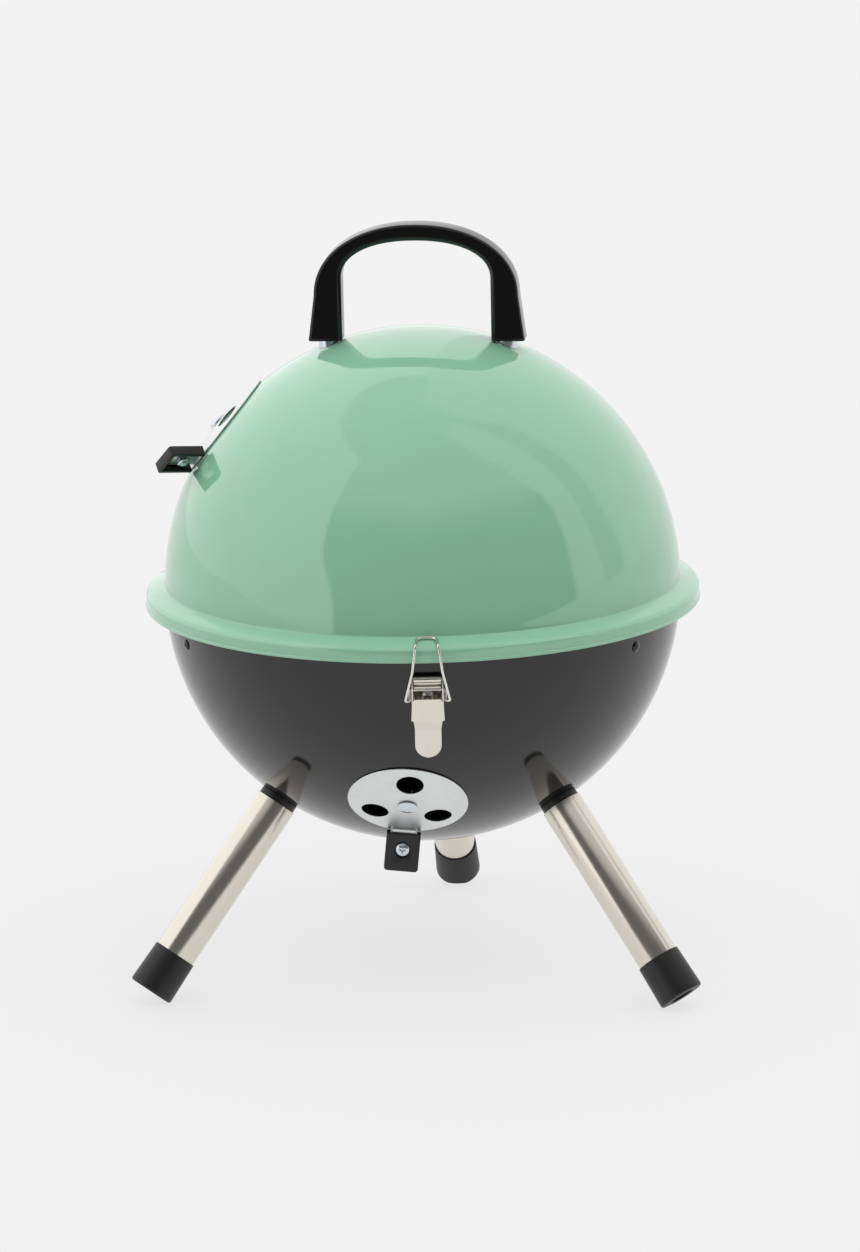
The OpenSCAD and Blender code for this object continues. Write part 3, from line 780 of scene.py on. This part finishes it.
def makeTab(s):
    half, tip, root = s["half"], s["root"] - s["long"], s["root"]
    outline = rounded([(-half, root, 0.6), (-half, tip, s["corner"]), (half, tip, s["corner"]),
                       (half, root, 0.6)], 8, closed=True)
    tab = bevelled(prism("tab", outline, s["top"] - s["thick"], s["top"]), s["edge"], 4, 50)
    hollow = block(-half + s["wall"], half - s["wall"], tip + 2, 1, -8, 0)
    well, bore = rod(s["well"], 0.7, 5, 48, 0, s["screwY"]), rod(s["bore"], -5, 5, 32, 0, s["screwY"])
    sweep = ballR + s["clear"]
    under = [(0.0, sweep)] + [(r, sideR(sweep, r)) for r in range(4, 61, 4)] + [(60.0, 100.0), (0.0, 100.0)]
    ball = placedBy(turned("tool", under, None, 160), tonguePlace(ventShape).inverted())
    for tool in (hollow, well, bore, ball):
        cutFrom(tab, [tool])
    return keepOwn(bevelled(tab, 0.16, 2, 50))


def hexNut(across, high, bore):
    r = across / 2 / math.cos(math.radians(30))
    profile = [(bore, high, 0), (across / 2 - 0.2, high, 0), (r, high - 0.55, 0), (r, 0.55, 0),
               (across / 2 - 0.2, 0, 0), (bore, 0, 0)]
    return keepOwn(turned("nut", rounded(profile, 2), boltSteel, 6, closed=True))


rivetShape = {"head": 5.2, "ball": 9.0, "shank": 2.5, "washer": 4.5}


def makeRivet(s):
    low, peak = ballR + 1.75, ballR + 4.3
    centre = peak - s["ball"]
    top = math.degrees(math.asin((low + 0.35 - centre) / s["ball"]))
    crown = [(x, y + centre) for x, y in arc(0, 0, s["ball"], 90, max(top, 48.5), 18)]
    crown[0] = (0.0, crown[0][1])
    body = rounded([(*crown.pop(), 0), (s["head"], low + 0.45, 0.25), (s["head"], low, 0.15),
                    (s["shank"], low, 0), (s["shank"], innerR - 0.8, 0), (s["washer"], innerR - 0.8, 0.15),
                    (s["washer"], innerR - 2.0, 0.35), (0, innerR - 2.0, 0)], 4)
    return keepOwn(turned("rivet", crown + body, zincHead, 56))


for label, plain, spun, body, hub in (("lid", lidVent, lidVentTurned, "lid_damper", "lid"),
                                      ("bowl", bowlVent, bowlVentTurned, "bowl_damper", "bowl")):
    disc = keepOwn(joined([pressedDisc("disc", ventShape), makeTongue(ventShape)]))
    finished(placedBy(disc, spun), label + "DamperDisc", body, [label + "_damper_disc"], zincSheet, 34)
    tongueThere = spun @ tonguePlace(ventShape)
    tab = placedBy(makeTab(tabShape), tongueThere)
    finished(tab, label + "DamperTab", body, [label + "_damper_tab"], tabBlack, 34)
    screw = placedBy(crossHead(*tabShape["screw"]), move(0, tabShape["screwY"], tabShape["screwZ"]))
    nut = placedBy(hexNut(*tabShape["nut"]), move(0, tabShape["screwY"], tabShape["nutZ"]))
    screw = placedBy(joined([screw, nut]), tongueThere)
    finished(screw, label + "DamperScrew", body, [label + "_damper_screw"], zincHead)
    finished(placedBy(makeRivet(rivetShape), plain), label + "VentRivet", hub, [label + "_vent_rivet"],
             zincHead, 50)
print("vents made")

# ---- legs ----

legShape = {"tube": 12.5, "wall": 1.2, "start": 158.6, "end": 289.2, "capStart": 267.5, "capEnd": 294.2,
            "capTop": 13.2, "cap": 13.8, "capRound": 3.0, "washer": 8.0, "bolt": 5.0}


def makeLegTube(s):
    r = s["tube"]
    return turned("tube", rounded([(r, s["end"], 0.2), (r, s["start"], 0.25), (r - s["wall"], s["start"], 0.2),
                                   (r - s["wall"], s["end"], 0.2)], 3, closed=True), legSteel, 72, closed=True)


def makeLegPlug(s):
    r, bore = s["tube"] - 0.75, s["tube"] - s["wall"] - 0.1
    curve = [(x, sideR(ballR + 0.1, x)) for x in (3.1, 6.0, 9.0, r - 0.05)]
    body = rounded([(*curve[-1], 0.1), (r, s["start"] - 0.02, 0.3), (bore, s["start"] - 0.02, 0),
                    (bore, 189, 0.8), (9.0, 189, 0), (9.0, 182, 0), (3.1, 181, 0), (3.1, curve[0][1], 0)],
                   4, closed=True)
    return turned("plug", body + curve[1:-1], capBlack, 64, closed=True)


def makeLegCap(s):
    r, bore, end = s["cap"], s["tube"] + 0.06, s["capEnd"]
    profile = rounded([(bore, s["capStart"], 0.25), (s["capTop"], s["capStart"], 0.5),
                       (r, end - s["capRound"], 6), (r, end, s["capRound"]), (7.5, end, 0.5),
                       (7.5, end - 2.4, 0.4), (3.0, end - 2.4, 0.3), (3.0, end - 5.0, 0.1),
                       (bore, end - 5.0, 0.1)], 7, closed=True)
    return turned("cap", profile, capBlack, 72, closed=True)


def makeLegBolt(s):
    profile = rounded([(3.0, innerR - 1.2, 0), (s["washer"], innerR - 1.2, 0.35),
                       (s["washer"], innerR - 2.8, 0.35), (3.0, innerR - 2.8, 0)], 3, closed=True)
    washer = turned("washer", profile, boltSteel, 48, closed=True)
    r = s["bolt"] / math.cos(math.radians(30))
    head = turned("head", [(0, innerR - 7.0), (s["bolt"] - 0.5, innerR - 7.0), (r, innerR - 6.3),
                           (r, innerR - 2.85), (0, innerR - 2.85)], boltSteel, 6)
    shank = turned("shank", rounded([(0, innerR - 3.2, 0), (2.9, innerR - 3.2, 0), (2.9, innerR + 22, 0.6),
                                     (0, innerR + 22, 0)], 3), boltSteel, 28)
    return joined([washer, head, shank])


def roundLegs(obj, material):
    return around(placedBy(keepOwn(obj), legPlace(0)), legTurns, material)


ends = ("left", "right", "rear")
finished(roundLegs(makeLegTube(legShape), legSteel), "legTubes", "bowl", ["leg_tube_" + e for e in ends],
         legSteel)
finished(roundLegs(makeLegPlug(legShape), capBlack), "legPlugs", "bowl", ["leg_plug_" + e for e in ends],
         capBlack)
finished(roundLegs(makeLegBolt(legShape), boltSteel), "legBolts", "bowl", ["leg_bolts"],
         boltSteel)
caps = roundLegs(makeLegCap(legShape), capBlack)
work = bmesh.new()
work.from_mesh(caps.data)
bmesh.ops.remove_doubles(work, verts=work.verts, dist=0.002)
whole = work.verts[:] + work.edges[:] + work.faces[:]
bmesh.ops.bisect_plane(work, geom=whole, dist=0.0001, plane_co=(0, 0, 0.02), plane_no=(0, 0, -1),
                       clear_outer=True)  # a flat where each cap stands
bmesh.ops.holes_fill(work, edges=[e for e in work.edges if e.is_boundary], sides=0)
work.to_mesh(caps.data)
work.free()
finished(caps, "legCaps", "bowl", ["leg_cap_" + e for e in ends], capBlack, 34)

bracketRivetShape = {"head": 3.2, "shank": 2.0, "inner": 3.5}


def makeBracketRivet(s):
    crown = [(x, y + ballR - 3.4) for x, y in arc(0, 0, 5.0, 90, 50.4, 10)]
    crown[0] = (0.0, crown[0][1])
    body = [(s["head"], ballR + 0.06), (s["shank"], ballR + 0.06), (s["shank"], innerR - 2.2),
            (s["inner"], innerR - 2.25), (s["inner"], innerR - 3.1), (0, innerR - 3.2)]
    return turned("rivet", crown + body, blackEnamel, 32)


bracketRivet = placedBy(keepOwn(makeBracketRivet(bracketRivetShape)), ballPlace(0, bracketLatitude))
finished(around(bracketRivet, legTurns, blackEnamel), "bracketRivets", "bowl", ["bracket_rivets"],
         blackEnamel, 50)
print("legs made")

# ---- latches ----

latchShape = {"half": 8.0, "bottom": -18.0, "front": 157.0, "thick": 1.2, "pivotY": 13.6, "pivotZ": 157.4,
              "barrel": 2.2, "pin": 0.95, "pinHalf": 10.0}
leverShape = {"half": 9.7, "tail": 7.7, "face": 162.6, "low": 158.0, "thick": 1.2, "cheek": 0.9}
bailShape = {"wire": 0.8, "y": 8.0, "z": 159.6}


def makeLatchPlate(s):
    mid = s["front"] - s["thick"] / 2
    curl = arc(s["pivotY"], s["pivotZ"], s["barrel"] - s["thick"] / 2, 232, -100, 30)
    path = rounded([(s["bottom"], mid - 0.9, 0), (s["bottom"] + 1.2, mid, 1.5), (s["pivotY"] - 3.2, mid, 2.5),
                    (*curl[0], 0)], 5) + curl[1:]
    plate = bentStrip("plate", path, [s["half"]] * len(path), s["thick"], 0.3)
    profile = [(0, s["pinHalf"], 0), (s["pin"], s["pinHalf"], 0.3), (s["pin"], -s["pinHalf"], 0.3),
               (0, -s["pinHalf"], 0)]
    pin = turned("pin", rounded(profile, 3), nickelWire, 20)
    placedBy(pin, move(0, s["pivotY"], s["pivotZ"]) @ turn("Y", 90))
    cutFrom(plate, [rod(bowlShape["latchHole"], 150, 160, 24, 0, y) for y in latchScrewYs])
    return keepOwn(joined([plate, pin]))


def makeLever(s, latch):
    mid, low = s["face"] + s["thick"] / 2, s["low"] + s["thick"] / 2
    path = rounded([(3.6, mid, 0), (2.0, mid, 0), (-10.5, mid, 1.3), (-18.4, low, 1.8), (-26.0, low, 0)], 6)
    halves = []
    for y, z in path:
        if y > 3.5:
            halves.append(s["half"] - 2.2)
        elif y > -10.2:
            halves.append(s["half"] - max(0.0, (y - 1.0)) * 0.8)
        else:
            halves.append(s["tail"] + max(0.0, (y + 11.5)))
    path[1:1] = [(1.0 + 2.6 * t, mid) for t in (0.75, 0.5, 0.25)]
    halves[1:1] = [s["half"] - 2.2 * t for t in (0.75, 0.5, 0.25)]
    for k in range(1, 17):
        t = k / 16
        path.append((-28.6 - s["tail"] * math.sin(t * math.pi / 2) * 0.995, low))
        halves.append(s["tail"] * math.cos(t * math.pi / 2))
    order = sorted(range(len(path)), key=lambda i: -path[i][0])
    top = bentStrip("lever", [path[i] for i in order], [halves[i] for i in order], s["thick"], 0.35)
    parts = [top]
    for side in (-1, 1):
        head = arc(latch["pivotY"], latch["pivotZ"], 2.7, -100, 75, 12)
        outline = head + [(3.0, s["face"] + 0.4), (-10.2, s["face"] + 0.4), (-10.2, 160.9), (1.0, 157.4)]
        cheek = prism("cheek", outline, -s["cheek"] / 2, s["cheek"] / 2)
        cutFrom(cheek, [rod(1.15, -3, 3, 20, latch["pivotY"], latch["pivotZ"]),
                        rod(0.95, -3, 3, 20, bailShape["y"], bailShape["z"])])
        cheek = bevelled(cheek, 0.22, 2, 40)
        standing = Matrix(((0, 0, 1, side * 8.85), (1, 0, 0, 0), (0, 1, 0, 0), (0, 0, 0, 1)))
        parts.append(placedBy(cheek, standing))
    return keepOwn(joined(parts))


def makeBail(s):
    lean = math.radians(-latchLatitude)

    def upright(x, y, z):  # from the latch's leaning place to the kettle's upright one
        return (x, -z * math.cos(lean) - y * math.sin(lean), -z * math.sin(lean) + y * math.cos(lean))

    side = [(5.9, -157.6, 3.9), (6.6, -168.4, 1.5), (8.7, -168.4, -14), upright(13, 1.8, s["z"] + 2.4),
            upright(10.3, 1.8, s["z"] + 1.9), upright(10.3, s["y"], s["z"])]
    bends = [4.4, 2.2, 2.2, 0.92, 0.92, 1.25]
    points = [(-x, y, z) for x, y, z in reversed(side)] + side
    count = len(points)
    wire = newObject("bail", points, (), [(i, (i + 1) % count) for i in range(count)])
    bend = wire.data.attributes.new("bend", "FLOAT", "POINT")
    bend.data.foreach_set("value", bends[::-1] + bends)
    return runTree(wire, wireTree, nickelWire, wireRadius=s["wire"], sides=18, bendSteps=9)


latchFront = ballPlace(0, latchLatitude)
plates = around(placedBy(makeLatchPlate(latchShape), latchFront), latchTurns, nickelSheet)
finished(plates, "latchPlates", "bowl", ["latch_plate_" + e for e in ("front", "right", "left")],
         nickelSheet, 34)
screwPair = [placedBy(crossHead(3.5, 2.0, 1.7, 6.5), latchFront @ move(0, y, latchShape["front"] + 0.02))
             for y in latchScrewYs]
finished(around(joined(screwPair), latchTurns, boltSteel), "latchScrews", "bowl", ["latch_screws"],
         boltSteel)
lever, bail = makeLever(leverShape, latchShape), keepOwn(tidyMesh(makeBail(bailShape)))
for end, azimuth in zip(("front", "right", "left"), latchTurns):
    twin = copyOf(lever, ballPlace(azimuth, latchLatitude))
    finished(twin, "latchLever" + end.capitalize(), "lever_" + end, ["latch_lever_" + end],
             nickelSheet, 34)
    twin = copyOf(bail, kettle @ turn("Z", azimuth))
    finished(twin, "latchBail" + end.capitalize(), "bail_" + end, ["latch_bail_" + end],
             nickelWire, 50)
bpy.data.objects.remove(lever)
bpy.data.objects.remove(bail)
print("latches made")

# ---- grates and brackets ----

cookShape = {"radius": 144.5, "z": -11.6, "pitch": 14.0, "ring": 2.5, "bar": 1.8, "bearer": 52.0}
coalBall = innerR - 2.85
coalShape = {"radius": coalBall * math.cos(math.radians(33)), "z": -coalBall * math.sin(math.radians(33)),
             "pitch": 18.0, "ring": 2.5, "bar": 2.0, "bearer": 46.0}


def makeGrate(name, s):
    bars = 2 * int((s["radius"] - 6) / s["pitch"]) + 1
    grate = newObject(name, [(0, 0, 0)])
    runTree(grate, grateTree, grateSteel, ringRadius=s["radius"], ringWire=s["ring"], barWire=s["bar"],
            bars=bars, pitch=s["pitch"], bearerOffset=s["bearer"], bearerDrop=2 * s["bar"] - 0.4,
            centre=tuple(kettleCentre + Vector((0, 0, s["z"]))))
    return grate


finished(makeGrate("cookingGrate", cookShape), "cookingGrate", "cooking_grate", ["cooking_grate"],
         grateSteel)
finished(makeGrate("charcoalGrate", coalShape), "charcoalGrate", "charcoal_grate", ["charcoal_grate"],
         grateSteel)
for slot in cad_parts["grate_brackets"].material_slots:  # these stay the frame's own mesh
    slot.material = bracketSteel
print("grates made")

# ---- floor, light, camera ----

studio = {"floor": 0.12, "floorGlow": 0.72, "dim": 0.14, "ceiling": 0.66, "left": 1.2, "right": 0.98,
          "behind": 0.95, "seen": 0.887, "sun": 1.5, "sunAngle": 70, "sunFrom": (0.2, -0.32, 1.0)}
bpy.ops.mesh.primitive_plane_add(size=60, location=(0, 28.75, 0))  # its front edge is just ahead of the kettle
floor = bpy.context.object
floor.name = "floor"
paper = bpy.data.materials.new("studio floor")
paper.use_nodes = True
paperLook = {"Base Color": (studio["floor"], studio["floor"], studio["floor"], 1), "Roughness": 0.9,
             "Specular IOR Level": 0.1, "Emission Color": (1, 1, 1, 1),
             "Emission Strength": studio["floorGlow"]}
for key, value in paperLook.items():
    paper.node_tree.nodes["Principled BSDF"].inputs[key].default_value = value
floor.data.materials.append(paper)


def lightWalls(tree, s):  # pale walls left, right and behind, a greyer ceiling, a dim front
    spot = output(tree, shade(tree, "TexCoord"), "Generated")
    direction = shade(tree, "SeparateXYZ", Vector=spot)
    x, y, z = (output(tree, direction, axis) for axis in "XYZ")
    ripple = noise(tree, spot, 2.6, 1.0) - 0.5
    azimuth = x.maths("ARCTAN2", y * -1.0).maths("DEGREES") + ripple * 8.0
    elevation = z.maths("ARCSINE").maths("DEGREES") + ripple * 7.0
    left = (azimuth + elevation * 0.24).stepped(-36, -33, 1, 0) * elevation.stepped(61, 66, 1, 0)
    raised = (elevation - 38.0).maths("MAXIMUM", 0.0) * 0.6
    right = (azimuth + raised).stepped(76, 80) * elevation.stepped(78, 86, 1, 0)
    post = azimuth.stepped(92, 96) * azimuth.stepped(105, 110, 1, 0)
    right = right * post.stepped(0, 1, 1, 0.6)
    behind = y.stepped(0.64, 0.72) * z.stepped(0.64, 0.72, 1, 0)
    total = (left * s["left"]).maths("MAXIMUM", s["dim"])
    for part, name in ((right, "right"), (behind, "behind"), (elevation.stepped(28, 50), "ceiling")):
        total = total.maths("MAXIMUM", part * s[name])
    seen = output(tree, shade(tree, "LightPath"), "Is Camera Ray")
    return total * (seen * -1.0 + 1.0) + seen * s["seen"]


world = bpy.data.worlds.new("studio")
bpy.context.scene.world = world
world.use_nodes = True
background = world.node_tree.nodes["Background"]
background.inputs["Color"].default_value = (1, 1, 1, 1)
feed(world.node_tree, background.inputs["Strength"], lightWalls(world.node_tree, studio))
sun = bpy.data.lights.new("topLight", "SUN")
sun.energy, sun.angle = studio["sun"], math.radians(studio["sunAngle"])
sunHolder = bpy.data.objects.new("topLight", sun)
bpy.context.scene.collection.objects.link(sunHolder)
sunHolder.visible_glossy = False
sunHolder.rotation_euler = Vector(studio["sunFrom"]).to_track_quat("Z", "Y").to_euler()

cameraShape = {"distance": 3.683, "elevation": 13.08, "azimuth": 5.95, "pitch": -0.41, "yaw": 0.06,
               "roll": -1.16, "lens": 176.3}


def placeCamera(s):  # on a ball round the kettle, then turned a little about its own axes
    camera = bpy.data.objects.new("camera", bpy.data.cameras.new("camera"))
    bpy.context.scene.collection.objects.link(camera)
    swing = turn("Z", s["azimuth"]) @ turn("X", 90 - s["elevation"])
    aim = turn("X", s["pitch"]) @ turn("Y", -s["yaw"]) @ turn("Z", s["roll"])
    camera.matrix_world = move(*(kettleCentre * 0.001)) @ swing @ move(0, 0, s["distance"]) @ aim
    camera.data.lens, camera.data.sensor_width, camera.data.clip_start = s["lens"], 36.0, 0.05
    bpy.context.scene.camera = camera


placeCamera(cameraShape)
bpy.context.scene.view_settings.view_transform = "Standard"

print("scene ready")
